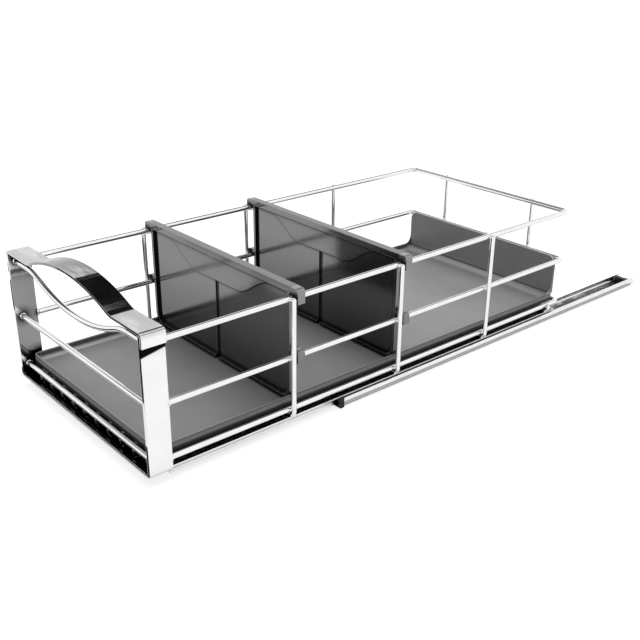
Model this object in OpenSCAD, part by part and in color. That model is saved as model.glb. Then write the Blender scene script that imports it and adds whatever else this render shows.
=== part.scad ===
// Pull-out cabinet basket: a chromed wire basket with a flat-strip front, a moulded
// tray liner and two hooked dividers, carried on two low ball slides that lie flat.
// Millimetres. X right, Y to the back of the cabinet, Z up. The cabinet floor is Z = 0,
// and the origin is the middle of the slides' screw holes.

/* [Basket] */
// Width between the centres of the two side wires
basket_w = 215; // [190:1:300]
// Length from the front cross wires to the rear cross wires
basket_l = 490; // [480:1:540]
// Height of the bottom wire's centre above the cabinet floor
bottom_z = 18.5; // [18:0.5:24]
// Height of the middle wire above the bottom wire
mid_rise = 46; // [36:0.5:60]
// Height of the top wire above the bottom wire
top_rise = 97.5; // [84:0.5:130]
// Diameter of the ring and front wires
ring_d = 5; // [4:0.1:5]
// Diameter of the hoops, rear uprights and rear cross wire
hoop_d = 4.5; // [3.5:0.1:4.5]
// Diameter of the floor wires
floor_d = 3.5; // [2.5:0.1:3.5]
// Bend radius of the rings' rear corners, to the wire's centre
ring_bend_r = 5; // [5:0.5:20]
// Distance from the front wires to the first hoop
first_hoop = 128; // [100:1:140]
// Distance from one hoop to the next
hoop_pitch = 119.5; // [90:0.5:120]
// Distance from the rear wires to the low cross wire
rear_cross_in = 22; // [18:1:30]
// Distance of each rear upright from the middle
rear_upright_x = 60; // [30:1:80]
// Distance between floor wires
floor_pitch = 20; // [16:1:30]

/* [Front] */
// Width of the flat strip, front to back
strip_w = 20; // [16:1:24]
// Distance that the strip's front edge stands ahead of the front wires
strip_ahead = 6.5; // [4:0.5:8]
// Thickness of the U-shaped frame strip
frame_t = 3; // [2.5:0.1:4]
// Outer bend radius at the frame's bottom corners
frame_bend_r = 4.5; // [4.5:0.5:8]
// Clearance between the frame and the cabinet floor
frame_clear = 7; // [5:0.5:12]
// Thickness of the handle strip
handle_t = 2; // [1.5:0.1:2.5]
// Height of the handle's flat ends above the top wire's centre
handle_rise = 10; // [8:0.5:16]
// Rise of the handle's arch above its flat ends
arch_rise = 14; // [8:0.5:20]
// Half the length of the handle's arch
arch_half = 72; // [60:1:80]
// Radius of the blend at each foot of the arch
arch_foot_r = 25; // [10:1:40]
// Inner bend radius at the handle's ends
handle_bend_r = 2; // [1:0.1:2.4]
// Length of the lip that turns down at each end of the handle
lip_drop = 11.5; // [8:0.5:14]
// Depth of the dip in the front top wire, below the handle
dip_depth = 16; // [8:0.5:20]
// Half the length of that dip
dip_half = 85; // [75:1:88]
// Radius of the blend at each end of the dip
dip_foot_r = 60; // [30:1:80]

/* [Tray liner] */
// Thickness of the tray's floor and lips
tray_t = 2; // [1.5:0.1:3]
// Height of the tray's low lips, from its underside
lip_h = 8.5; // [6:0.5:12]
// Gap between the tray and the bottom wires
tray_gap = 0.8; // [0.6:0.1:1.5]
// Thickness of the tray's rear wall
wall_t = 2.5; // [2:0.1:4]
// Distance that the rear wall's ends stay inside the tray's sides
wall_inset = 1.5; // [1:0.5:10]
// Inside radius along the foot of the lips
cove_r = 4.5; // [3:0.5:5]
// Inside radius along the foot of the rear wall
wall_cove_r = 9; // [5:0.5:12]
// Outside radius of the tray's upright corners
tray_corner_r = 6; // [3:0.5:8]
// Radius at the rear wall's top corners and at its ends' feet
wall_corner_r = 8; // [4:0.5:10]

/* [Dividers] */
// Depth of a divider's rim and top flange, front to back
divider_d = 7.5; // [6:0.5:10]
// Thickness of the divider's panel
panel_t = 2.5; // [2:0.1:4]
// Width of the rim around the panel
rim_w = 3; // [2:0.5:5]
// Radius of the panel's bottom corners
panel_corner_r = 12; // [10:1:18]
// Height of the top flange above the top wire
flange_h = 5.4; // [3:0.1:6]
// Thickness of each hook's outer wall
hook_t = 3.5; // [2:0.5:4]
// Depth that the hooks reach below the top wire's centre
hook_drop = 4.5; // [3:0.5:8]
// Depth that the clips reach below the middle wire's centre
clip_drop = 4; // [3:0.5:6]
// Extra thickness of the raised upper panel
crest_t = 1.2; // [0.8:0.1:2]
// Depth of the raised panel in the middle, below its shoulders
crest_depth = 20; // [10:1:24]
// Half the width of the raised panel's flat middle
crest_flat = 30; // [20:1:44]
// Distance from the middle to where the slopes end
crest_half = 76; // [60:1:88]
// Width of the groove down the middle of the panel
groove_w = 5; // [3:0.5:8]
// Depth of that groove
groove_depth = 0.8; // [0.4:0.1:1]
// Gap between a hoop and the divider behind it
divider_gap = 0.75; // [0.5:0.05:2]

/* [Slides] */
// Length of the fixed slide member
slide_l = 450; // [430:1:460]
// Width over the fixed slide member
slide_w = 22; // [21:0.5:26]
// Distance between the middles of the two slides
slide_spacing = 198; // [150:1:200]
// Thickness of the slide members' steel
steel_t = 1.3; // [1:0.1:1.5]
// Diameter of the slide balls
ball_d = 4.8; // [4:0.1:5]
// Height of the ball centres above the cabinet floor
ball_z = 4.9; // [4.7:0.1:5.2]
// Balls on each side of a cage
ball_count = 5; // [3:1:6]
// Length of each ball cage
cage_l = 100; // [90:1:104]
// Thickness of the carrier strip between slide and basket
carrier_t = 1.2; // [1:0.1:2]
// Width of the carrier strip
carrier_w = 20; // [16:0.5:21]
// Distance from the rear wires to the carrier strips' rear ends
carrier_in = 6; // [4:1:16]
// Setback of the fixed member's front end from the closed basket's front wires
slide_setback = 30; // [20:1:40]
// Distance from the fixed member's rear end to its rear bumper's face
bumper_in = 11; // [10:0.5:22]
// Length of the rear bumper
bumper_l = 5; // [4:0.5:8]
// Height of the rear bumper above the fixed member's web
bumper_h = 6.5; // [5:0.5:7]
// Full travel of the basket
travel = 310; // [250:1:310]
// Distance that the basket is pulled out at rest
pulled_out = 156; // [0:1:310]
// Diameter of the screw holes in the fixed member
screw_hole_d = 4.5; // [4:0.1:5]
// Distance of the outer screw holes from each end of the fixed member
hole_end = 52; // [45:1:65]
// Distance between the two screw holes of a pair
hole_pair = 15; // [14:1:30]
// Diameter of the rivets between slide and carrier strip
rivet_d = 4; // [3:0.1:4.5]
// Distance of the first two rivets ahead of their hoops
rivet_ahead = 20; // [12:1:30]

/* [Hidden] */
$fn = 48;

arch_steps = 11; // facets on each quarter of the handle's arch
crest_steps = 10; // facets on each slope of a divider's raised panel
crest_end_h = 1; // height of the raised panel at its two ends
cut_over = 1; // a cutting shape runs past the face that it cuts by this

// Clearances
run_clear = 0.05; // ball to raceway, radial
rivet_clear = 0.05; // rivet to its holes, radial
seat_clear = 0.3; // a divider's hooks and clips to their wires
panel_clear = 1.6; // a divider's edge to the side wires
floor_clear = 0.8; // a divider's foot to the tray
stop_clear = 0.5; // the slide to its bumper when closed

// Heights
mid_z = bottom_z + mid_rise;
top_z = bottom_z + top_rise;
hoop_bend_r = (ring_d + hoop_d) / 2; // a hoop hugs the bottom wire as it turns under it
hoop_z = bottom_z - hoop_bend_r; // the hoops' run under the floor
floor_z = hoop_z + hoop_d / 2 + floor_d / 2; // centres of the floor wires
tray_z = floor_z + floor_d / 2; // underside of the tray
rim_z = tray_z + lip_h; // top of the tray's lips
wall_top_z = mid_z + ring_d / 2; // top of the tray's rear wall
carrier_z = hoop_z - hoop_d / 2 - carrier_t; // underside of the carrier strips
inner_top_z = carrier_z; // top of the inner slide members
handle_z = top_z + handle_rise; // top of the handle's flat ends

// Half widths
side_x = basket_w / 2;
wire_in_x = side_x - ring_d / 2; // inner face of the side wires
wire_out_x = side_x + ring_d / 2; // outer face of the side wires and the frame
hoop_x = wire_out_x + hoop_d / 2;
frame_in_x = wire_out_x - frame_t;
tray_x = wire_in_x - tray_gap;
flat_x = tray_x - tray_t - cove_r;
panel_x = wire_in_x - panel_clear;

// Places along Y, in the basket's own frame, with the front wires at 0
strip_mid_y = strip_w / 2 - strip_ahead;
strip_rear_y = strip_w - strip_ahead;
hoop_y = [for (i = [0:2]) first_hoop + i * hoop_pitch];
rear_cross_y = basket_l - rear_cross_in;
rear_upright_y = basket_l + ring_d / 2 + hoop_d / 2;
divider_y = [for (i = [0:1]) hoop_y[i] + hoop_d / 2 + divider_gap];
tray_front_y = ring_d / 2 + tray_gap;
tray_rear_y = basket_l - ring_d / 2 - tray_gap;
flat_y0 = tray_front_y + tray_t + cove_r; // the tray's flat floor, inside its coves
flat_y1 = tray_rear_y - wall_t - wall_cove_r;
inner_rear_y = slide_setback + slide_l - bumper_in - stop_clear;
rivet_y = [hoop_y[0] - rivet_ahead, hoop_y[2] - rivet_ahead, inner_rear_y - rivet_ahead];

// Places along Y, in the row's frame
slide_front_y = -slide_l / 2;
basket_y = slide_front_y - slide_setback - pulled_out;
cage_end_gap = 4; // cage to the fixed member's front end at full travel
cage_y = slide_front_y + (travel - pulled_out) / 2 + cage_end_gap;

// Slide section, measured from the slide's middle
slide_x = slide_spacing / 2;
race_r = ball_d / 2 + run_clear;
race_out_r = race_r + steel_t;
ball_x = slide_w / 2 - race_out_r;
race_cut = 0.9; // each raceway stops short of the ball's middle by this
race_foot_z = 2.9; // lowest point of the inner raceway
inner_web_z = inner_top_z - steel_t;
cage_t = 0.6;
cage_z = steel_t + 0.3; // underside of the cage
cage_top_z = ball_z + race_r + 0.55;

// ---------------------------------------------------------------- helpers

// Moves a piece from the basket's frame to the row's frame
module on_basket() {
    translate([0, basket_y, 0]) children();
}

// Repeats a piece on both sides
module both_sides() {
    children();
    mirror([1, 0, 0]) children();
}

// Straight wires along each axis, from one end to the other
module wire_x(d, x0, x1, y, z) {
    translate([x0, y, z]) rotate([0, 90, 0]) cylinder(d = d, h = x1 - x0);
}

module wire_y(d, y0, y1, x, z) {
    translate([x, y0, z]) rotate([-90, 0, 0]) cylinder(d = d, h = y1 - y0);
}

module wire_z(d, z0, z1, x, y) {
    translate([x, y, z0]) cylinder(d = d, h = z1 - z0);
}

// Part of a bent wire: an arc in the XY plane, from angle a0 over turn degrees
module wire_arc(d, r, a0, turn) {
    rotate([0, 0, a0]) rotate_extrude(angle = turn) translate([r, 0]) circle(d = d);
}

// Part of a bent strip: its inner radius is r and its width runs along Z
module strip_arc(r, t, w, a0, turn) {
    rotate([0, 0, a0]) rotate_extrude(angle = turn) translate([r, -w / 2]) square([t, w]);
}

// Turns a shape drawn in XY upright, so that its Y becomes Z
module upright() {
    rotate([90, 0, 0]) children();
}

// A block with its lowest corner and its highest corner given
module block(low, high) {
    translate(low) cube(high - low);
}

// Sum of the two radii of a wave made of a crown arc and two foot arcs
function wave_sum(half, rise) = (half * half + rise * rise) / (2 * rise);
function wave_angle(half, rise) = asin(half / wave_sum(half, rise));

// Points along an arch and its flat ends, which reach x = end, off the underside by off
function arch_line(end, half, rise, foot_r, off) =
    let (turn = wave_angle(half, rise), crown_r = wave_sum(half, rise) - foot_r,
         n = arch_steps, foot = foot_r - off, crown = crown_r + off)
    concat(
        [[-end, off]],
        [for (i = [0:n]) let (a = 270 + turn * i / n)
            [-half + foot * cos(a), foot_r + foot * sin(a)]],
        [for (i = [1:2 * n - 1]) let (a = 90 + turn - turn * i / n)
            [crown * cos(a), rise - crown_r + crown * sin(a)]],
        [for (i = [n:-1:0]) let (a = 270 - turn * i / n)
            [half + foot * cos(a), foot_r + foot * sin(a)]],
        [[end, off]]);

function reversed(list) = [for (i = [len(list) - 1:-1:0]) list[i]];

// ---------------------------------------------------------------- wire basket

// A ring is open at the front, where the frame's uprights close it
module ring(z) {
    straight = basket_l - ring_bend_r;
    translate([0, 0, z]) both_sides() {
        wire_y(ring_d, strip_rear_y, straight, side_x, 0);
        translate([side_x - ring_bend_r, straight, 0]) wire_arc(ring_d, ring_bend_r, 0, 90);
    }
    wire_x(ring_d, ring_bend_r - side_x, side_x - ring_bend_r, basket_l, z);
}

module top_ring() {
    color("silver") on_basket() ring(top_z);
}

module middle_ring() {
    color("silver") on_basket() ring(mid_z);
}

module bottom_ring() {
    color("silver") on_basket() ring(bottom_z);
}

// The front top wire dips below the handle to leave room for the fingers
module front_top_wire() {
    turn = wave_angle(dip_half, dip_depth);
    crown_r = wave_sum(dip_half, dip_depth) - dip_foot_r;
    color("silver") on_basket() translate([0, 0, top_z]) {
        upright() translate([0, crown_r - dip_depth, 0])
            wire_arc(ring_d, crown_r, 270 - turn, 2 * turn);
        both_sides() {
            upright() translate([dip_half, -dip_foot_r, 0])
                wire_arc(ring_d, dip_foot_r, 90, turn);
            wire_x(ring_d, dip_half, frame_in_x, 0, 0);
        }
    }
}

module front_cross_wire(z) {
    wire_x(ring_d, -frame_in_x, frame_in_x, 0, z);
}

module front_middle_wire() {
    color("silver") on_basket() front_cross_wire(mid_z);
}

module front_bottom_wire() {
    color("silver") on_basket() front_cross_wire(bottom_z);
}

// A hoop stands outside the rings and runs under the floor wires
module hoop(y, end_z) {
    bend_z = hoop_z + hoop_bend_r;
    translate([0, y, 0]) {
        both_sides() {
            wire_z(hoop_d, bend_z, end_z, hoop_x, 0);
            translate([hoop_x, 0, end_z]) sphere(d = hoop_d);
            translate([hoop_x - hoop_bend_r, 0, bend_z])
                upright() wire_arc(hoop_d, hoop_bend_r, 270, 90);
        }
        wire_x(hoop_d, hoop_bend_r - hoop_x, hoop_x - hoop_bend_r, 0, hoop_z);
    }
}

module front_hoop() {
    color("silver") on_basket() hoop(hoop_y[0], top_z);
}

module middle_hoop() {
    color("silver") on_basket() hoop(hoop_y[1], top_z);
}

module rear_hoop() {
    color("silver") on_basket() hoop(hoop_y[2], top_z);
}

// The low cross wire ends at the bottom ring
module rear_cross_wire() {
    color("silver") on_basket() hoop(rear_cross_y, hoop_z + hoop_bend_r + 0.5);
}

module rear_uprights() {
    foot_z = bottom_z - ring_d / 2;
    color("silver") on_basket() both_sides() {
        wire_z(hoop_d, foot_z, top_z, rear_upright_x, rear_upright_y);
        translate([rear_upright_x, rear_upright_y, top_z]) sphere(d = hoop_d);
    }
}

// Floor wires lie on the hoops and turn down to the frame's bottom bar
module floor_wires() {
    foot_z = frame_clear + frame_t;
    bend_r = floor_z - foot_z;
    front_y = strip_mid_y;
    rows = floor((side_x - ring_d - floor_pitch / 2) / floor_pitch);
    color("silver") on_basket() for (i = [0:rows]) both_sides() {
        x = (i + 0.5) * floor_pitch;
        wire_y(floor_d, front_y + bend_r, basket_l - ring_d / 2, x, floor_z);
        translate([x, front_y + bend_r, foot_z]) rotate([0, 0, 90])
            upright() wire_arc(floor_d, bend_r, 90, 90);
    }
}

// ---------------------------------------------------------------- front

// Frame: a flat strip bent to a U, with the handle's ends wrapped over its tops
module front_frame() {
    top = handle_z - handle_t;
    low = frame_clear;
    inner_r = frame_bend_r - frame_t;
    front = -strip_ahead;
    color("gainsboro") on_basket() {
        both_sides() {
            block([frame_in_x, front, low + frame_bend_r],
                  [wire_out_x, strip_rear_y, top - handle_bend_r]);
            block([frame_in_x, front, top - handle_bend_r],
                  [wire_out_x - handle_bend_r, strip_rear_y, top]);
            translate([wire_out_x - handle_bend_r, strip_mid_y, top - handle_bend_r])
                upright() cylinder_quarter(handle_bend_r, strip_w);
            translate([wire_out_x - frame_bend_r, strip_mid_y, low + frame_bend_r])
                upright() strip_arc(inner_r, frame_t, strip_w, 270, 90);
        }
        block([frame_bend_r - wire_out_x, front, low],
              [wire_out_x - frame_bend_r, strip_rear_y, low + frame_t]);
    }
}

module cylinder_quarter(r, w) {
    rotate_extrude(angle = 90) translate([0, -w / 2]) square([r, w]);
}

// Handle: a flat strip, arched in the middle, with a lip turned down at each end
module handle() {
    flat_z = handle_z - handle_t;
    bend_z = flat_z - handle_bend_r;
    bend_x = wire_out_x - handle_bend_r;
    lip_z = handle_z - lip_drop;
    color("gainsboro") on_basket() translate([0, strip_mid_y, 0]) {
        translate([0, strip_w / 2, flat_z]) upright() linear_extrude(strip_w)
            polygon(concat(arch_line(bend_x, arch_half, arch_rise, arch_foot_r, 0),
                           reversed(arch_line(bend_x, arch_half, arch_rise, arch_foot_r,
                                              handle_t))));
        both_sides() {
            translate([bend_x, 0, bend_z]) upright()
                strip_arc(handle_bend_r, handle_t, strip_w, 0, 90);
            block([wire_out_x, -strip_w / 2, lip_z], [wire_out_x + handle_t, strip_w / 2, bend_z]);
        }
    }
}

// ---------------------------------------------------------------- tray liner

// Plan of the tray, with rounded upright corners, from x = -half to half
module tray_plan(half, y0, y1, r) {
    translate([r - half, y0]) square([2 * (half - r), y1 - y0]);
    translate([-half, y0 + r]) square([2 * half, y1 - y0 - 2 * r]);
    for (x = [r - half, half - r], y = [y0 + r, y1 - r]) translate([x, y]) circle(r = r);
}

// A slot open at the top, with its two lower corners rounded
module slot_profile(x0, x1, z0, z1, r0, r1) {
    translate([x0 + r0, z0]) square([x1 - x0 - r0 - r1, z1 - z0]);
    translate([x0, z0 + r0]) square([r0, z1 - z0 - r0]);
    translate([x1 - r1, z0 + r1]) square([r1, z1 - z0 - r1]);
    translate([x0 + r0, z0 + r0]) circle(r = r0);
    translate([x1 - r1, z0 + r1]) circle(r = r1);
}

// Outline of the rear wall in XZ: rounded top corners and spread feet
module wall_outline(half, z0, z1, r) {
    translate([-half, z0]) square([2 * half, z1 - r - z0]);
    translate([r - half, z1 - r]) square([2 * (half - r), r]);
    for (x = [r - half, half - r]) translate([x, z1 - r]) circle(r = r);
    foot = tray_x - half;
    for (s = [0, 1]) mirror([s, 0]) difference() {
        translate([half, z0]) square([foot, foot]);
        translate([half + foot, z0 + foot]) circle(r = foot);
    }
}

// The whole moulding, which is kept as four nodes that meet face to face
module tray_shape() {
    floor_top = tray_z + tray_t;
    sky_z = wall_top_z + cut_over;
    inner_x = tray_x - tray_t;
    difference() {
        union() {
            translate([0, 0, tray_z]) linear_extrude(lip_h)
                tray_plan(tray_x, tray_front_y, tray_rear_y, tray_corner_r);
            translate([0, tray_rear_y, 0]) upright() linear_extrude(wall_t + wall_cove_r)
                wall_outline(tray_x - wall_inset, rim_z, wall_top_z, wall_corner_r);
        }
        intersection() {
            translate([0, tray_rear_y + cut_over, 0]) upright()
                linear_extrude(basket_l + 2 * cut_over)
                slot_profile(-inner_x, inner_x, floor_top, sky_z, cove_r, cove_r);
            translate([-tray_x, 0, 0]) rotate([90, 0, 90]) linear_extrude(2 * tray_x)
                slot_profile(tray_front_y + tray_t, tray_rear_y - wall_t,
                             floor_top, sky_z, cove_r, wall_cove_r);
        }
    }
}

// The tray's full width between two Y planes
module tray_between(y0, y1) {
    out_x = tray_x + cut_over;
    intersection() {
        tray_shape();
        block([-out_x, y0, tray_z - cut_over], [out_x, y1, wall_top_z + cut_over]);
    }
}

// The flat floor, as far as the foot of the coves
module tray_floor() {
    color("dimgray") on_basket()
        block([-flat_x, flat_y0, tray_z], [flat_x, flat_y1, tray_z + tray_t]);
}

module tray_side_lips() {
    inner_x = tray_x - tray_t;
    color("dimgray") on_basket() both_sides()
        translate([0, flat_y1, 0]) upright() linear_extrude(flat_y1 - flat_y0) difference() {
            translate([flat_x, tray_z]) square([tray_x - flat_x, lip_h]);
            slot_profile(-inner_x, inner_x, tray_z + tray_t, wall_top_z, cove_r, cove_r);
        }
}

module tray_front_lip() {
    color("dimgray") on_basket() tray_between(tray_front_y - cut_over, flat_y0);
}

module tray_rear_wall() {
    color("dimgray") on_basket() tray_between(flat_y1, tray_rear_y + cut_over);
}

// ---------------------------------------------------------------- dividers

// Outline of the panel in XZ, made smaller all round by inset
module panel_outline(foot_z, top, inset) {
    r = panel_corner_r - inset;
    half = panel_x - inset;
    low = foot_z + inset;
    translate([-half, low + r]) square([2 * half, top - low - r]);
    translate([r - half, low]) square([2 * (half - r), r]);
    for (x = [r - half, half - r]) translate([x, low + r]) circle(r = r);
}

// Raised upper panel: its lower edge drops in two smooth slopes to a flat middle
module crest_outline(shoulder_z, top) {
    slope = [for (i = [0:crest_steps]) let (u = i / crest_steps)
        [crest_flat + (crest_half - crest_flat) * u,
         shoulder_z - crest_depth * (1 + cos(180 * u)) / 2]];
    right = concat(slope, [[panel_x, shoulder_z], [panel_x, top]]);
    left = [for (p = reversed(right)) [-p[0], p[1]]];
    polygon(concat(left, right));
}

// Arm with a downward notch that seats over a side wire; its outer wall ends at low
module wire_clip(wire_z, top, low, depth) {
    notch_top = wire_z + ring_d / 2 + seat_clear;
    outer = wire_out_x + seat_clear;
    round_r = min(hook_t, top - notch_top) - 0.2;
    block([panel_x - rim_w, 0, notch_top], [outer + hook_t - round_r, depth, top]);
    block([outer, 0, low], [outer + hook_t, depth, top - round_r]);
    translate([outer + hook_t - round_r, depth / 2, top - round_r])
        upright() cylinder_quarter(round_r, depth);
}

module divider(y) {
    foot_z = tray_z + tray_t + floor_clear;
    flange_low = top_z + ring_d / 2 + seat_clear;
    flange_top = flange_low + flange_h;
    web_y = (divider_d - panel_t) / 2;
    clip_top = mid_z + ring_d / 2 + seat_clear + hook_t;
    shoulder_z = flange_low - crest_end_h;
    on_basket() translate([0, y, 0]) difference() {
        union() {
            // panel and its rim
            translate([0, web_y + panel_t, 0]) upright() linear_extrude(panel_t)
                panel_outline(foot_z, flange_low, 0);
            translate([0, divider_d, 0]) upright() linear_extrude(divider_d) difference() {
                panel_outline(foot_z, flange_low, 0);
                panel_outline(foot_z, flange_top, rim_w);
            }
            // raised upper panel on both faces
            translate([0, web_y + panel_t + crest_t, 0]) upright()
                linear_extrude(panel_t + 2 * crest_t)
                crest_outline(shoulder_z, flange_low);
            // top flange and hooks
            block([rim_w - panel_x, 0, flange_low], [panel_x - rim_w, divider_d, flange_top]);
            both_sides() {
                wire_clip(top_z, flange_top, top_z - hook_drop, divider_d);
                wire_clip(mid_z, clip_top, mid_z - clip_drop, divider_d);
            }
        }
        // groove down both faces, which also parts the rim at the foot
        for (y0 = [-cut_over, web_y + panel_t - groove_depth])
            block([-groove_w / 2, y0, foot_z - cut_over],
                  [groove_w / 2, y0 + web_y + groove_depth + cut_over, shoulder_z - crest_depth]);
    }
}

module front_divider() {
    color("gray") divider(divider_y[0]);
}

module rear_divider() {
    color("gray") divider(divider_y[1]);
}

// ---------------------------------------------------------------- slides

// One steel raceway around the balls' line, as a section
module race_ring() {
    difference() {
        translate([ball_x, ball_z]) circle(r = race_out_r);
        translate([ball_x, ball_z]) circle(r = race_r);
    }
}

// Fixed member: a flat web with a bulged raceway along each edge
module outer_section() {
    foot_w = slide_w / 2 - race_out_r / 2 - (ball_x + race_cut);
    translate([-ball_x - race_cut, 0]) square([2 * (ball_x + race_cut), steel_t]);
    for (s = [0, 1]) mirror([s, 0]) {
        intersection() {
            race_ring();
            translate([ball_x + race_cut, 0]) square([slide_w, slide_w]);
        }
        difference() {
            translate([ball_x + race_cut, 0]) square([foot_w, ball_z - race_r + 0.2]);
            translate([ball_x, ball_z]) circle(r = race_r + steel_t / 2);
        }
    }
}

// Moving member: a channel open below, whose walls curl round the balls' inner sides
module inner_section() {
    wall_x = ball_x - race_out_r;
    web_half = wall_x + steel_t;
    translate([-web_half, inner_web_z]) square([2 * web_half, steel_t]);
    for (s = [0, 1]) mirror([s, 0]) {
        intersection() {
            race_ring();
            translate([0, race_foot_z])
                square([ball_x - race_cut, inner_top_z - race_foot_z]);
        }
        difference() {
            translate([wall_x, ball_z]) square([steel_t, inner_web_z - ball_z + 0.1]);
            translate([ball_x, ball_z]) circle(r = race_r + steel_t / 2);
        }
    }
}

// Cage: a thin channel whose walls run between the raceways
module cage_section() {
    half = ball_x + cage_t / 2;
    translate([-half, cage_z]) square([2 * half, cage_t]);
    for (s = [0, 1]) mirror([s, 0])
        translate([half - cage_t, cage_z]) square([cage_t, cage_top_z - cage_z]);
}

// Extrudes a section of one slide along Y
module along(x, y0, length) {
    translate([x, y0 + length, 0]) rotate([90, 0, 0]) linear_extrude(length) children();
}

function ball_y(i) = cage_y + cage_l * (i + 0.5) / ball_count;

module outer_slide(side) {
    holes = [hole_end, hole_end + hole_pair];
    color("lightgray") difference() {
        along(side * slide_x, slide_front_y, slide_l) outer_section();
        for (h = holes, s = [-1, 1])
            translate([side * slide_x, s * (slide_l / 2 - h), -cut_over])
                cylinder(d = screw_hole_d, h = steel_t + 2 * cut_over);
    }
}

module inner_slide(side) {
    color("lightgray") on_basket() difference() {
        along(side * slide_x, strip_rear_y, inner_rear_y - strip_rear_y) inner_section();
        rivet_holes(side);
    }
}

module carrier_strip(side) {
    color("silver") on_basket() difference() {
        block([side * slide_x - carrier_w / 2, strip_rear_y, carrier_z],
              [side * slide_x + carrier_w / 2, basket_l - carrier_in, carrier_z + carrier_t]);
        rivet_holes(side);
    }
}

module rivet_holes(side) {
    for (y = rivet_y) translate([side * slide_x, y, inner_web_z - cut_over])
        cylinder(d = rivet_d + 2 * rivet_clear, h = steel_t + carrier_t + 2 * cut_over);
}

// Rivets: a round head above the carrier strip and a flat one inside the slide
module carrier_rivets() {
    head_r = rivet_d * 0.9;
    head_h = rivet_d * 0.4;
    tail_r = rivet_d * 0.7;
    tail_h = rivet_d * 0.2;
    dome_r = (head_r * head_r + head_h * head_h) / (2 * head_h);
    strip_top = carrier_z + carrier_t;
    color("white") on_basket() both_sides() for (y = rivet_y) translate([slide_x, y, 0]) {
        wire_z(rivet_d, inner_web_z, strip_top, 0, 0);
        translate([0, 0, inner_web_z - tail_h]) cylinder(r = tail_r, h = tail_h);
        intersection() {
            translate([0, 0, strip_top + head_h - dome_r]) sphere(r = dome_r);
            translate([0, 0, strip_top])
                cylinder(r = head_r + cut_over, h = head_h + cut_over);
        }
    }
}

module ball_cage(side) {
    color("darkgray") difference() {
        along(side * slide_x, cage_y, cage_l) cage_section();
        for (i = [0:ball_count - 1])
            wire_x(2 * race_r, side * slide_x - slide_w / 2, side * slide_x + slide_w / 2,
                   ball_y(i), ball_z);
    }
}

module slide_balls(side) {
    color("white") for (i = [0:ball_count - 1], s = [-1, 1])
        translate([side * slide_x + s * ball_x, ball_y(i), ball_z]) sphere(d = ball_d);
}

// Front bumper: a black plastic cap on the fixed member's end, open for the moving member
module front_bumper(side) {
    cap_l = 4.5;
    post_x = ball_x + race_cut - 0.2;
    cap_top = carrier_z - 0.5;
    color("black") translate([side * slide_x, slide_front_y - cap_l, 0]) {
        block([-slide_w / 2, 0, 0], [slide_w / 2, cap_l, steel_t]);
        for (s = [0, 1]) mirror([s, 0, 0])
            block([post_x, 0, steel_t], [slide_w / 2, cap_l, cap_top]);
    }
}

// Rear bumper: a block between the raceways that the moving member stops against
module rear_bumper(side) {
    half = ball_x + race_cut - 0.25;
    nose_r = 3;
    color("black") translate([side * slide_x, slide_l / 2 - bumper_in, steel_t]) {
        block([nose_r - half, 0, 0], [half - nose_r, bumper_l, bumper_h]);
        block([-half, nose_r, 0], [half, bumper_l, bumper_h]);
        for (s = [-1, 1]) translate([s * (half - nose_r), nose_r, 0])
            cylinder(r = nose_r, h = bumper_h);
    }
}

module carrier_strip_left() {
    carrier_strip(-1);
}

module carrier_strip_right() {
    carrier_strip(1);
}

module inner_slide_left() {
    inner_slide(-1);
}

module inner_slide_right() {
    inner_slide(1);
}

module outer_slide_left() {
    outer_slide(-1);
}

module outer_slide_right() {
    outer_slide(1);
}

module ball_cage_left() {
    ball_cage(-1);
}

module ball_cage_right() {
    ball_cage(1);
}

module slide_balls_left() {
    slide_balls(-1);
}

module slide_balls_right() {
    slide_balls(1);
}

module front_bumper_left() {
    front_bumper(-1);
}

module front_bumper_right() {
    front_bumper(1);
}

module rear_bumper_left() {
    rear_bumper(-1);
}

module rear_bumper_right() {
    rear_bumper(1);
}

top_ring();
middle_ring();
bottom_ring();
front_top_wire();
front_middle_wire();
front_bottom_wire();
front_hoop();
middle_hoop();
rear_hoop();
rear_cross_wire();
rear_uprights();
floor_wires();
front_frame();
handle();
tray_floor();
tray_side_lips();
tray_front_lip();
tray_rear_wall();
front_divider();
rear_divider();
carrier_strip_left();
carrier_strip_right();
inner_slide_left();
inner_slide_right();
outer_slide_left();
outer_slide_right();
ball_cage_left();
ball_cage_right();
slide_balls_left();
slide_balls_right();
front_bumper_left();
front_bumper_right();
rear_bumper_left();
rear_bumper_right();
carrier_rivets();
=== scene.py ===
"""Looks of the pull-out cabinet basket: camera, light and materials."""
import math

import bmesh
import bpy
from mathutils import Matrix, Vector


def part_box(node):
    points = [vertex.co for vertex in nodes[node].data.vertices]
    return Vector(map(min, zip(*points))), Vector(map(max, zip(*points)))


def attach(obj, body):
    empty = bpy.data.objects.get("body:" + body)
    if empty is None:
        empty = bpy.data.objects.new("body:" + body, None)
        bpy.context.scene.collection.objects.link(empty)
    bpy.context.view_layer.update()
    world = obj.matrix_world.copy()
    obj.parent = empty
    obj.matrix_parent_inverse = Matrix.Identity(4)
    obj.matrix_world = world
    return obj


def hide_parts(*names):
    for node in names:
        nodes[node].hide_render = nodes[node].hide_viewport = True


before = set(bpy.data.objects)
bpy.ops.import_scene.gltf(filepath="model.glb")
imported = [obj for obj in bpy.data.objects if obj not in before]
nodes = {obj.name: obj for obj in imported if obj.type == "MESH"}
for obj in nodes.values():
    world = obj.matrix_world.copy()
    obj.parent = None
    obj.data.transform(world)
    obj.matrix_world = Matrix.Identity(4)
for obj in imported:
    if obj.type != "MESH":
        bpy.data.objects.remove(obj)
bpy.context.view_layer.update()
scene = bpy.context.scene
scene.view_settings.view_transform = "Standard"


def add_object(name, data):
    made = bpy.data.objects.new(name, data)
    scene.collection.objects.link(made)
    return made


# ------------------------------------------------------------------ camera

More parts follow.
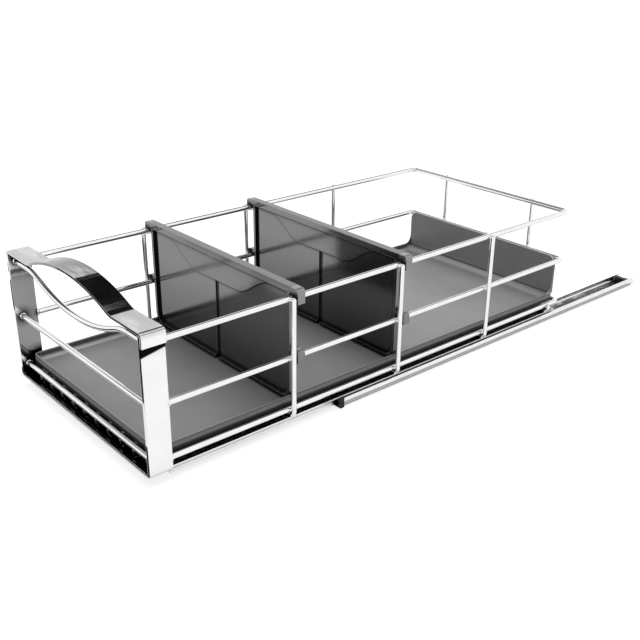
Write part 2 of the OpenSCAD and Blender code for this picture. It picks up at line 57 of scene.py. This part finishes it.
# Fitted to edge points of the photograph.
CAMERA_RIGHT, CAMERA_UP, CAMERA_ROLL = 49.090, 23.906, 0.589  # degrees, from the front
CAMERA_TARGET = Vector((0.00697, -0.16456, 0.03011))
CAMERA_DISTANCE = 0.890
CAMERA_LENS, SENSOR_WIDTH = 51.684, 36  # mm


def make_camera():
    """The photograph's camera: from the front right and above, with a long lens."""
    az, el, roll = (math.radians(a) for a in (CAMERA_RIGHT, CAMERA_UP, CAMERA_ROLL))
    ahead = Vector((-math.sin(az) * math.cos(el), math.cos(az) * math.cos(el), -math.sin(el)))
    level = ahead.cross(Vector((0, 0, 1))).normalized()
    over = level.cross(ahead)
    right = math.cos(roll) * level + math.sin(roll) * over
    up = math.cos(roll) * over - math.sin(roll) * level
    data = bpy.data.cameras.new("camera")
    data.sensor_width = SENSOR_WIDTH
    data.lens = CAMERA_LENS
    data.clip_start = 0.01
    data.clip_end = 100
    camera = add_object("camera", data)
    place = Matrix((right, up, -ahead)).transposed().to_4x4()
    place.translation = CAMERA_TARGET - CAMERA_DISTANCE * ahead
    camera.matrix_world = place
    scene.camera = camera


make_camera()


# ------------------------------------------------------------------ node helpers

NOISE_SPREAD = (0.3, 0.7)  # nearly all of a noise texture lies between these
SMUDGE_SPREAD = (0.35, 0.50, 0.66)  # dark, middle and light part of a smudged surface
EDGE_TURN = (0.985, 0.85)  # cosine between face and rounded edge, from none to all of the mask
EDGE_SAMPLES, CORNER_SHADE_SAMPLES = 6, 8


def grey(level):
    return (level, level, level)


def feed(tree, socket, value):
    """Links a node's output to the socket, or writes a number, vector or colour into it."""
    if isinstance(value, bpy.types.NodeSocket):
        tree.links.new(value, socket)
    else:
        socket.default_value = value


def math_node(tree, operation, *values):
    made = tree.nodes.new("ShaderNodeMath")
    made.operation = operation
    for socket, value in zip(made.inputs, values):
        feed(tree, socket, value)
    return made.outputs[0]


class Shader:
    """A material with a Principled BSDF, and short calls to wire texture nodes into it."""

    def __init__(self, name, **constants):
        self.material = bpy.data.materials.new(name)
        self.material.use_nodes = True
        self.tree = self.material.node_tree
        self.bsdf = self.tree.nodes["Principled BSDF"]
        self.set(**constants)

    def set(self, **inputs):
        self.fill(self.bsdf, inputs)

    def fill(self, node, inputs):
        for key, value in inputs.items():
            feed(self.tree, node.inputs[key.replace("_", " ")], value)

    def node(self, kind, props=None, **inputs):
        made = self.tree.nodes.new(kind)
        for key, value in (props or {}).items():
            setattr(made, key, value)
        self.fill(made, inputs)
        return made

    # where on the object

    def place(self, scale=(1, 1, 1)):
        """Object coordinates in metres, stretched by scale."""
        coords = self.node("ShaderNodeTexCoord").outputs["Object"]
        return self.node("ShaderNodeMapping", Vector=coords, Scale=scale).outputs["Vector"]

    def axis(self, name):
        """One object coordinate, in metres."""
        return self.node("ShaderNodeSeparateXYZ", Vector=self.place()).outputs[name]

    def off_middle(self):
        """Distance to the left or right of the object's middle, in metres."""
        return self.math("ABSOLUTE", self.axis("X"))

    def own_normal(self):
        return self.node("ShaderNodeNewGeometry").outputs["Normal"]

    def facing_up(self):
        """How far the surface faces up: 1 for a floor, 0 for a wall, -1 for an underside."""
        return self.node("ShaderNodeSeparateXYZ", Vector=self.own_normal()).outputs["Z"]

    # numbers and masks

    def math(self, operation, *values):
        return math_node(self.tree, operation, *values)

    def above(self, value, limit):
        return self.math("GREATER_THAN", value, limit)

    def below(self, value, limit):
        return self.math("LESS_THAN", value, limit)

    def both(self, mask, other):
        return self.math("MULTIPLY", mask, other)

    def either(self, mask, other):
        return self.math("MAXIMUM", mask, other)

    def span(self, value, low, high, to_low, to_high):
        """The value, carried over from one range to the other and kept inside it."""
        made = self.node("ShaderNodeMapRange", Value=value, From_Min=low, From_Max=high,
                         To_Min=to_low, To_Max=to_high)
        return made.outputs["Result"]

    def edge_mask(self, radius):
        """1 along edges, where the rounded normal leaves the face's own."""
        match = self.node("ShaderNodeVectorMath", {"operation": "DOT_PRODUCT"})
        feed(self.tree, match.inputs[0], self.round_edges(radius))
        feed(self.tree, match.inputs[1], self.own_normal())
        return self.span(match.outputs["Value"], *EDGE_TURN, 0, 1)

    def corner_shade_mask(self, distance, tight, free):
        """Mask for painted shade in corners: 0 in corners tighter than one share of open sky, 1
        where it is freer than the other.
        """
        made = self.node("ShaderNodeAmbientOcclusion", {"samples": CORNER_SHADE_SAMPLES},
                         Distance=distance)
        return self.span(made.outputs["AO"], tight, free, 0, 1)

    # textures and colours

    def noise(self, where, scale, detail=3, rough=0.5):
        """Scale in blots for each metre, and detail in finer layers, each rough times as strong."""
        made = self.node("ShaderNodeTexNoise", Vector=where, Scale=scale, Detail=detail,
                         Roughness=rough)
        return made.outputs["Fac"]

    def vary(self, noise, low, high):
        """A number that wanders between low and high with the noise."""
        return self.span(noise, *NOISE_SPREAD, low, high)

    def ramp(self, fac, stops):
        made = self.node("ShaderNodeValToRGB", Fac=fac)
        band = made.color_ramp
        while len(band.elements) < len(stops):
            band.elements.new(0.5)
        for element, (at, colour) in zip(band.elements, stops):
            element.position = at
            element.color = (*colour, 1)
        return made.outputs["Color"]

    def shades(self, noise, dark, light):
        """A colour that wanders between dark and light with the noise."""
        return self.ramp(noise, [*zip(NOISE_SPREAD, (dark, light))])

    def greys(self, fac, stops):
        return self.ramp(fac, [(at, grey(level)) for at, level in stops])

    def smudges(self, noise, *levels):
        """Dark, middle and light grey in blots, as on a handled or greasy surface."""
        return self.greys(noise, zip(SMUDGE_SPREAD, levels))

    def mix(self, fac, first, second):
        made = self.node("ShaderNodeMixRGB", Fac=fac)
        for key, colour in (("Color1", first), ("Color2", second)):
            if not isinstance(colour, bpy.types.NodeSocket):
                colour = (*colour, 1)
            feed(self.tree, made.inputs[key], colour)
        return made.outputs["Color"]

    # the surface's direction

    def round_edges(self, radius):
        made = self.node("ShaderNodeBevel", {"samples": EDGE_SAMPLES}, Radius=radius)
        return made.outputs["Normal"]

    def bump(self, height, strength, distance, **normal):
        made = self.node("ShaderNodeBump", Height=height, Strength=strength, Distance=distance,
                         **normal)
        return made.outputs["Normal"]


# ------------------------------------------------------------------ materials
# Places on the part are in metres. "Off" is the distance to the left or right of the middle.

# Handle, and the front frame under its lips.
TOUCHED_Z = (0.121, 0.128)  # hands haze the handle from here up; its colour is also painted darker there, as a darker reflection
CROWN_Z = (0.127, 0.136)  # from the flats of the handle to the crown of its arch, which is painted darker still
FRAME_SIDE_OFF = 0.1083  # the frame's side faces lie beyond this
FRAME_Y = (-0.4175, -0.3955)  # front and rear of those faces
LIP_Z = 0.1146  # foot of the handle's lips
LIP_SHADE_DEEP = (0.0080, 0.0036)  # how deep the painted dark reflection and shade below it reaches, front and rear
LIP_SHADE_EDGE = (-0.0008, 0.0004)  # how softly that ends
FOLD_OFF, FOLD_Z = 0.1107, 0.1247  # the fold from the handle's flat to its lip lies beyond these, and is painted dark there as shade

# Tray.
TRAY_PAINTED_LIGHT_Y = (-0.40, 0.02)  # painted light: darker at the front, lighter at the rear, as lit from the rear
TRAY_SIDE_OFF, TRAY_FRONT_Y = 0.1040, -0.4075  # the lips' outer faces lie beyond these
TRAY_LIP_Z = (0.0195, 0.0280)  # the tray's underside, and the top of its lips
TRAY_LIP_TOP = 0.0281  # just over them
# Share of a lip's height and its grey there, painted light and shade on the lips' outer faces: a
# dark foot, a light middle and a dark rim.
TRAY_PAINTED_BANDS = ((0.0, 0.01), (0.42, 0.01), (0.52, 0.25), (0.84, 0.28), (0.90, 0.05), (1.0, 0.05))
STEEP = 0.45  # facing up less than this is a wall
COVE_FLAT, COVE_STEEP = (0.999, 0.96), (0.45, 0.75)  # a cove starts and ends within these
COVE_HIGHLIGHT, TRAY_LIP_SHADE, TRAY_WEAR_AND_HIGHLIGHT = 0.85, 0.8, 0.6  # how strong each of these is: the painted cove highlight, the painted shade on the lips' inner faces, and the edge wear that also stands as a painted highlight

# Dividers.
ARM_OFF = 0.1048  # the hooks and clips lie beyond this
GROOVE_OFF, GROOVE_Z = 0.0026, 0.0978  # the groove lies within and below these
PAINTED_SHEEN_Z = (0.040, 0.095)  # painted reflection: the panels reflect more towards the top
DIVIDER_IOR = 2.7  # a strong shine, as of polished moulding
# How strong the edge wear is, which also stands as a painted highlight.
DIVIDER_WEAR_AND_HIGHLIGHT = 0.7

# Slides: distances from a slide's own middle.
SLIDE_X = 0.099
CHANNEL_OFF, CHANNEL_Z = 0.0085, 0.0085  # the inside lies within and below these
SKIRT_OFF, SKIRT_Z = 0.0100, 0.0045  # the outer face's lower half lies beyond and below these, and is painted a darker grey there as shade
GREASE_DULL = 0.15  # roughness that grease adds


def chrome_wire(name, low, high):
    s = Shader(name, Metallic=1.0)
    where = s.place()
    cloud = s.noise(where, 60, 4, 0.6)
    s.set(Base_Color=s.shades(cloud, grey(low), grey(high)),
          Roughness=s.vary(s.noise(where, 300, 3), 0.04, 0.10),
          Normal=s.bump(s.noise(where, 900, 2), 0.06, 0.0002))
    return s.material


def polished_strip():
    """Chromed strip: haze from hands on top of the handle, where its colour is also painted darker
    as a darker reflection, and painted shade at its folds, under its lips and in tight corners.
    """
    s = Shader("polished_strip", Metallic=1.0)
    where = s.place()
    lines = s.noise(s.place((1, 60, 60)), 30, 4, 0.6)
    cloud = s.noise(s.place((0.5, 1.6, 1)), 38, 4, 0.6)
    touched = s.span(s.axis("Z"), *TOUCHED_Z, 0, 1)
    clean = s.shades(s.noise(where, 35, 4, 0.6), grey(0.90), grey(0.96))
    # Hand haze, and painted darker reflection: the top is coloured darker, the crown darkest.
    flats = s.smudges(cloud, 0.30, 0.40, 0.64)
    crown = s.smudges(cloud, 0.15, 0.25, 0.56)
    hazed_with_painted_reflection = s.mix(s.span(s.axis("Z"), *CROWN_Z, 0, 1), flats, crown)
    haze = s.both(touched, s.span(cloud, 0.35, 0.65, 0.05, 0.01))

    # Painted dark reflection and shade on the frame's side faces, below the handle's lips.
    under_lip = s.math("SUBTRACT", LIP_Z, s.axis("Z"))
    deep = s.span(s.axis("Y"), *FRAME_Y, *LIP_SHADE_DEEP)
    lip_painted_shade = s.both(s.above(under_lip, 0.0),
                      s.span(s.math("SUBTRACT", under_lip, deep), *LIP_SHADE_EDGE, 1, 0))
    lip_painted_shade = s.both(lip_painted_shade, s.above(s.off_middle(), FRAME_SIDE_OFF))
    fold_painted_shade = s.both(s.above(s.off_middle(), FOLD_OFF), s.above(s.axis("Z"), FOLD_Z))
    black = s.either(lip_painted_shade, fold_painted_shade)
    # Painted shade and reflection: 1 where the colour is left as it is, 0 where it is painted near
    # black: under the lips, at the folds and in tight corners.
    light = s.both(s.corner_shade_mask(0.010, 0.84, 0.93), s.math("SUBTRACT", 1.0, black))
    s.set(Base_Color=s.mix(light, grey(0.004), s.mix(touched, clean, hazed_with_painted_reflection)),
          Roughness=s.math("ADD", s.vary(lines, 0.03, 0.07), haze),
          Normal=s.bump(s.noise(where, 120, 3), 0.05, 0.0006, Normal=s.round_edges(0.0006)))
    return s.material


def tray_plastic():
    """Grained grey tray with painted light: lighter to the rear, highlights in its coves, shade in
    tight corners and on its lips' inner faces, and dark and light lines along the lips' outer
    faces; its edges are paler with wear and painted highlight.
    """
    s = Shader("tray_plastic", Metallic=0.0)
    where = s.place()
    grain = s.noise(where, 1800, 2, 0.6)
    cloud = s.noise(where, 14, 4, 0.6)
    # Painted light: coloured darker at the front and lighter at the rear, as lit from the rear.
    front = s.shades(cloud, (0.218, 0.220, 0.222), (0.262, 0.264, 0.266))
    rear = s.shades(cloud, (0.268, 0.271, 0.273), (0.322, 0.325, 0.327))
    body = s.mix(s.span(s.axis("Y"), *TRAY_PAINTED_LIGHT_Y, 0, 1), front, rear)
    slant = s.facing_up()
    # Painted highlight in the coves.
    cove_highlight = s.both(s.span(slant, *COVE_FLAT, 0, 1), s.span(slant, *COVE_STEEP, 0, 1))
    body = s.mix(s.math("MULTIPLY", cove_highlight, COVE_HIGHLIGHT), body, (0.60, 0.605, 0.61))

    outside = s.either(s.above(s.off_middle(), TRAY_SIDE_OFF), s.below(s.axis("Y"), TRAY_FRONT_Y))
    upright = s.below(slant, STEEP)
    # Painted shade on the lips' inner faces.
    shaded_lip = s.both(upright, s.below(s.axis("Z"), TRAY_LIP_TOP))
    body = s.mix(s.math("MULTIPLY", shaded_lip, TRAY_LIP_SHADE), body, grey(0.06))
    # Painted light and shade in bands on the lips' outer faces.
    painted_bands = s.greys(s.span(s.axis("Z"), *TRAY_LIP_Z, 0, 1), TRAY_PAINTED_BANDS)
    body = s.mix(s.both(outside, upright), body, painted_bands)
    # Edge wear, which also stands as a painted highlight along the edges.
    edges = s.math("MULTIPLY", s.edge_mask(0.0012), TRAY_WEAR_AND_HIGHLIGHT)
    wear_and_highlight = s.mix(edges, body, (0.55, 0.555, 0.56))
    # Painted shade in tight corners.
    s.set(Base_Color=s.mix(s.corner_shade_mask(0.004, 0.45, 0.85), grey(0.03), wear_and_highlight),
          Roughness=s.vary(grain, 0.34, 0.50),
          Normal=s.bump(grain, 0.35, 0.00015, Normal=s.round_edges(0.0008)))
    return s.material


def divider_plastic():
    """Glossy dark panel with greyer arms. Its edges are paler with wear and painted highlight, the
    groove down its middle and tight corners hold painted shade, and its reflection is painted
    stronger towards the top.
    """
    s = Shader("divider_plastic", Metallic=0.0, IOR=DIVIDER_IOR)
    where = s.place()
    cloud = s.noise(where, 20, 4, 0.6)
    body = s.shades(cloud, (0.010, 0.011, 0.012), (0.018, 0.019, 0.020))
    body = s.mix(s.above(s.off_middle(), ARM_OFF), body, (0.15, 0.152, 0.155))
    # Edge wear, which also stands as a painted highlight along the edges.
    edges = s.math("MULTIPLY", s.edge_mask(0.0010), DIVIDER_WEAR_AND_HIGHLIGHT)
    wear_and_highlight = s.mix(edges, body, (0.30, 0.305, 0.31))
    # Painted shade: the groove and tight corners are coloured near black and reflect little.
    groove = s.both(s.below(s.off_middle(), GROOVE_OFF), s.below(s.axis("Z"), GROOVE_Z))
    light = s.both(s.math("SUBTRACT", 1.0, groove), s.corner_shade_mask(0.005, 0.78, 0.985))
    # Painted reflection: the panel reflects more towards the top.
    painted_sheen = s.mix(s.span(s.axis("Z"), *PAINTED_SHEEN_Z, 0, 1), grey(0.50), grey(1.0))
    s.set(Base_Color=s.mix(light, (0.008, 0.008, 0.009), wear_and_highlight),
          Specular_Tint=s.mix(light, grey(0.06), painted_sheen),
          Roughness=s.vary(s.noise(where, 700, 2), 0.10, 0.17),
          Normal=s.bump(s.noise(where, 160, 3), 0.05, 0.0004, Normal=s.round_edges(0.0008)))
    return s.material


def plated_steel(name, low, high, rough_low, rough_high, greasy_and_shaded=False):
    """Zinc-plated sheet steel, with painted shade in tight corners. A greased slide is smeared
    inside and has painted shade low on its outer face.
    """
    s = Shader(name, Metallic=1.0)
    drawn = s.noise(s.place((60, 1, 60)), 22, 5, 0.65)
    cloud = s.noise(s.place(), 45, 5, 0.65)
    colour = s.shades(cloud, grey(low), grey(high))
    rough = s.vary(drawn, rough_low, rough_high)
    # Painted shade in tight corners.
    colour = s.mix(s.corner_shade_mask(0.012, 0.30, 0.62), grey(0.03), colour)
    if greasy_and_shaded:
        off = s.math("ABSOLUTE", s.math("SUBTRACT", s.off_middle(), SLIDE_X))
        channel = s.both(s.below(off, CHANNEL_OFF), s.below(s.axis("Z"), CHANNEL_Z))
        smear = s.smudges(s.noise(s.place((1, 0.35, 1)), 130, 6, 0.7), 0.14, 0.40, 0.78)
        # Painted shade low on the slide's outer face.
        skirt_shade = s.both(s.above(off, SKIRT_OFF), s.below(s.axis("Z"), SKIRT_Z))
        colour = s.mix(skirt_shade, s.mix(channel, colour, smear), grey(0.80))
        rough = s.math("ADD", rough, s.math("MULTIPLY", channel, GREASE_DULL))
    s.set(Base_Color=colour, Roughness=rough,
          Normal=s.bump(drawn, 0.08, 0.0002, Normal=s.round_edges(0.0003)))
    return s.material


def black_plastic():
    s = Shader("black_plastic", Metallic=0.0)
    grain = s.noise(s.place(), 1500, 2)
    s.set(Base_Color=s.shades(grain, grey(0.012), grey(0.022)),
          Roughness=s.vary(grain, 0.35, 0.5),
          Normal=s.bump(grain, 0.2, 0.0001, Normal=s.round_edges(0.0004)))
    return s.material


# For metals: the lowest and highest grey and, for the sheet steels, roughness.
MATERIALS = {
    "chrome_wire": chrome_wire("chrome_wire", 0.88, 0.95),
    # A darker copy of the chrome, painted shade for the floor wires.
    "chrome_in_painted_shade": chrome_wire("chrome_in_painted_shade", 0.45, 0.75),
    "polished_strip": polished_strip(),
    "tray_plastic": tray_plastic(),
    "divider_plastic": divider_plastic(),
    "zinc_steel": plated_steel("zinc_steel", 0.82, 0.93, 0.12, 0.24),
    "greased_shaded_steel": plated_steel("greased_shaded_steel", 0.82, 0.93, 0.12, 0.24, greasy_and_shaded=True),
    "cage_steel": plated_steel("cage_steel", 0.45, 0.58, 0.25, 0.38),
    "bright_steel": plated_steel("bright_steel", 0.84, 0.92, 0.08, 0.16),
    "black_plastic": black_plastic(),
}
SPECIAL_FINISH = {
    "floor_wires": "chrome_in_painted_shade",
    "outer_slide_left": "greased_shaded_steel",
    "outer_slide_right": "greased_shaded_steel",
}

for name, piece in nodes.items():
    for slot in piece.material_slots:
        finish = SPECIAL_FINISH.get(name, slot.material.name.split(".")[0])
        slot.material = MATERIALS[finish]


# ------------------------------------------------------------------ pieces

LIP_RISE = 0.0085  # the tray's lips, from its underside to their top
REAR_WALL_DEEP = 0.0025  # thickness of the rear wall above them
REAR_WALL_CURVE = 0.010  # radius of the curve at its foot
CURVE_STEPS = 10
KNIFE_PAST = 0.01  # the cut goes past the wall by this


def knife_mesh():
    """A prism across the whole wall. Its rear is the new front face of the wall's ends."""
    low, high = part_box("tray_rear_wall")
    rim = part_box("tray_floor")[0][2] + LIP_RISE
    face, curve = high[1] - REAR_WALL_DEEP, REAR_WALL_CURVE
    outline = [(face, rim + curve)]
    for i in range(CURVE_STEPS + 1):
        turn = math.radians(90 * i / CURVE_STEPS)
        outline.append((face - curve + curve * math.cos(turn),
                        rim + curve - curve * math.sin(turn)))
    front, top = low[1] - KNIFE_PAST, high[2] + KNIFE_PAST
    outline += [(front, rim), (front, top), (face, top)]
    work = bmesh.new()
    ends = [[work.verts.new((x, y, z)) for y, z in outline]
            for x in (low[0] - KNIFE_PAST, high[0] + KNIFE_PAST)]
    for end in ends:
        work.faces.new(end)
    for i in range(len(outline)):
        j = (i + 1) % len(outline)
        work.faces.new((ends[0][i], ends[0][j], ends[1][j], ends[1][i]))
    bmesh.ops.recalc_face_normals(work, faces=work.faces)
    mesh = bpy.data.meshes.new("knife")
    work.to_mesh(mesh)
    work.free()
    return mesh


def rear_wall():
    """The tray's rear wall as moulded, with thin ends that curve forward down to the lips."""
    knife = add_object("knife", knife_mesh())
    blank = add_object("blank", nodes["tray_rear_wall"].data.copy())
    cut = blank.modifiers.new("cut", "BOOLEAN")
    cut.operation = "DIFFERENCE"
    cut.solver = "EXACT"
    cut.object = knife
    shaped = blank.evaluated_get(bpy.context.evaluated_depsgraph_get())
    mesh = bpy.data.meshes.new_from_object(shaped)
    mesh.materials.clear()
    mesh.materials.append(MATERIALS["tray_plastic"])
    for used in (blank, knife):
        bpy.data.objects.remove(used)
    piece = add_object("rear_wall", mesh)
    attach(piece, "basket")
    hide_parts("tray_rear_wall")


# Weld beads: distance from the middle, and half sizes in X, Y and Z.
FRAME_BEAD_OFF, FRAME_BEAD = 0.1066, (0.0016, 0.0034, 0.0034)  # front wires to the frame
RING_BEAD_OFF, RING_BEAD = 0.1075, (0.0030, 0.0016, 0.0034)  # side wires to the frame's rear edge
RING_BEAD_BEHIND = 0.0140  # from the middle of the front wires to that edge
HOOP_BEAD_OFF, HOOP_BEAD = 0.1100, (0.0016, 0.0026, 0.0020)  # side wires to the hoops
FRONT_WIRE_R = 0.0025
BEAD_SWELL = 0.12  # how lumpy the beads are


def bead_places():
    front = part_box("front_middle_wire")[0][1] + FRONT_WIRE_R
    rings = [(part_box(name)[0][2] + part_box(name)[1][2]) / 2
             for name in ("bottom_ring", "middle_ring", "top_ring")]
    spots = []
    for z in rings:
        for side in (-1, 1):
            spots.append(((side * FRAME_BEAD_OFF, front, z), FRAME_BEAD))
            spots.append(((side * RING_BEAD_OFF, front + RING_BEAD_BEHIND, z), RING_BEAD))
            for name in ("front_hoop", "middle_hoop", "rear_hoop"):
                low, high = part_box(name)
                spots.append(((side * HOOP_BEAD_OFF, (low[1] + high[1]) / 2, z), HOOP_BEAD))
    return spots


def weld_beads():
    """Small beads of weld where the wires meet the front strip and the hoops."""
    work = bmesh.new()
    for index, (middle, size) in enumerate(bead_places()):
        made = bmesh.ops.create_icosphere(work, subdivisions=2, radius=1.0)["verts"]
        for vert in made:
            lump = math.sin(5 * vert.co.x + index) * math.cos(4 * vert.co.z + 2 * index)
            swell = 1 + BEAD_SWELL * lump
            vert.co = Vector([m + swell * c * r for m, c, r in zip(middle, vert.co, size)])
    for face in work.faces:
        face.smooth = True
    mesh = bpy.data.meshes.new("weld_beads")
    work.to_mesh(mesh)
    work.free()
    mesh.materials.append(MATERIALS["chrome_wire"])
    piece = add_object("weld_beads", mesh)
    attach(piece, "basket")


rear_wall()
weld_beads()


# ------------------------------------------------------------------ studio

FLOOR_SIZE = 60
FLOOR_Z, CARD_Z = -0.0005, -0.0003  # just under the slides, with the cards on the floor
FLOOR_PAPER = 0.42  # the floor's own colour, where the object's shadow falls
FLOOR_GLOW = 0.58  # what it glows by where it is seen, so that it is white without a shadow
FLOOR_CAMERA_GLOW = 0.24  # and what it adds for the camera alone

# Cards on the floor: low corner, high corner and grey.
BLACK, SLIDE_GREY = 0.02, 0.42
CARDS = {
    "ground_bar": ((-0.140, -0.446), (0.108, -0.424), BLACK),
    "ground_front": ((-0.360, -0.600), (0.108, -0.480), BLACK),
    "ground_slide_0": ((-0.126, -0.235), (-0.1101, 0.225), SLIDE_GREY),
    "ground_slide_2": ((0.1101, -0.235), (0.126, 0.225), SLIDE_GREY),
    # A dark sheet under the basket, painted shade.
    "shade_sheet_under": ((-0.104, -0.395), (0.104, 0.075), BLACK),
}

# Panels overhead: from and to, in degrees to the left of +Y, and their heights in degrees.
PANELS = {"panel_back": (8, 78), "panel_left": (100, 165), "panel_front": (195, 260)}
PANEL_LOW, PANEL_HIGH = 34, 62
PANEL_Z = 3.0
PANEL_CENTRE_Y = -0.15
PANEL_STEPS = 16

WORLD_LIGHT, WORLD_SEEN = 0.40, 1.0
KEY_STRENGTH = 2.0
KEY_SOFTNESS = 50  # degrees across
KEY_DIRECTION = Vector((0.15, -0.30, -1))


def flat_face(name, corners, place, material):
    """A face of the studio, which isn't part of the object."""
    mesh = bpy.data.meshes.new(name)
    mesh.from_pydata(corners, [], [tuple(range(len(corners)))])
    mesh.materials.append(material)
    made = add_object(name, mesh)
    made.matrix_world = Matrix.Translation(place)
    return made


def rectangle(size_x, size_y):
    x, y = size_x / 2, size_y / 2
    return [(-x, -y, 0), (x, -y, 0), (x, y, 0), (-x, y, 0)]


def light_path(tree):
    return tree.nodes.new("ShaderNodeLightPath").outputs


def seen_ray(tree):
    """1 for a ray that shows the studio: from the camera, a mirror or glass."""
    path = light_path(tree)
    mirror = math_node(tree, "MAXIMUM", path["Is Camera Ray"], path["Is Glossy Ray"])
    return math_node(tree, "MAXIMUM", mirror, path["Is Transmission Ray"])


def empty_material(name):
    """A material, its nodes with no shader yet, and the socket for that shader."""
    material = bpy.data.materials.new(name)
    material.use_nodes = True
    tree = material.node_tree
    tree.nodes.remove(tree.nodes["Principled BSDF"])
    return material, tree, tree.nodes["Material Output"].inputs["Surface"]


def floor_material():
    """Grey paper that takes the shadow, and glows up to white where it is seen."""
    material, tree, surface = empty_material("studio_floor")
    paper = tree.nodes.new("ShaderNodeBsdfDiffuse")
    paper.inputs["Color"].default_value = (*grey(FLOOR_PAPER), 1)
    glow = tree.nodes.new("ShaderNodeEmission")
    seen = math_node(tree, "MULTIPLY", seen_ray(tree), FLOOR_GLOW)
    camera = light_path(tree)["Is Camera Ray"]
    feed(tree, glow.inputs["Strength"],
         math_node(tree, "MULTIPLY_ADD", camera, FLOOR_CAMERA_GLOW, seen))
    both = tree.nodes.new("ShaderNodeAddShader")
    feed(tree, both.inputs[0], paper.outputs[0])
    feed(tree, both.inputs[1], glow.outputs[0])
    feed(tree, surface, both.outputs[0])
    return material


def card_material(level):
    material, tree, surface = empty_material("card")
    light = tree.nodes.new("ShaderNodeEmission")
    light.inputs["Color"].default_value = (*grey(level), 1)
    feed(tree, surface, light.outputs[0])
    return material


def only_glossy(piece):
    piece.visible_camera = False
    piece.visible_diffuse = False
    piece.visible_shadow = False
    piece.visible_transmission = False
    piece.visible_volume_scatter = False


def dark_panel(name, left_from, left_to):
    """A black panel overhead that only reflections show, between two angles to the left of +Y."""
    corners = []
    there = range(PANEL_STEPS + 1)
    for tall, order in ((PANEL_LOW, there), (PANEL_HIGH, reversed(there))):
        reach = PANEL_Z / math.tan(math.radians(tall))
        for i in order:
            turn = math.radians(left_from + (left_to - left_from) * i / PANEL_STEPS)
            corners.append((-reach * math.sin(turn), reach * math.cos(turn), 0))
    only_glossy(flat_face(name, corners, (0, PANEL_CENTRE_Y, PANEL_Z), card_material(BLACK)))


def ground_card(name, low, high, level):
    """A card flat on the floor, between its low and high corners, that only reflections show."""
    middle = ((low[0] + high[0]) / 2, (low[1] + high[1]) / 2, CARD_Z)
    card = flat_face(name, rectangle(high[0] - low[0], high[1] - low[1]), middle,
                     card_material(level))
    only_glossy(card)
    return card


def build_world():
    world = bpy.data.worlds.new("studio")
    scene.world = world
    world.use_nodes = True
    tree = world.node_tree
    sky = tree.nodes["Background"]
    sky.inputs["Color"].default_value = (1, 1, 1, 1)
    level = tree.nodes.new("ShaderNodeMapRange")
    level.inputs["To Min"].default_value = WORLD_LIGHT
    level.inputs["To Max"].default_value = WORLD_SEEN
    feed(tree, level.inputs["Value"], seen_ray(tree))
    feed(tree, sky.inputs["Strength"], level.outputs["Result"])


def build_studio():
    flat_face("floor", rectangle(FLOOR_SIZE, FLOOR_SIZE), (0, 0, FLOOR_Z), floor_material())
    for name, (left_from, left_to) in PANELS.items():
        dark_panel(name, left_from, left_to)
    cards = {name: ground_card(name, *card) for name, card in CARDS.items()}
    cards["shade_sheet_under"].visible_diffuse = True  # this one is painted shade: it also darkens the basket's underside, by diffuse light
    build_world()
    data = bpy.data.lights.new("key", "SUN")
    data.angle = math.radians(KEY_SOFTNESS)
    data.energy = KEY_STRENGTH
    key = add_object("key", data)
    key.rotation_euler = KEY_DIRECTION.to_track_quat("-Z", "Y").to_euler()
    key.visible_glossy = False


build_studio()
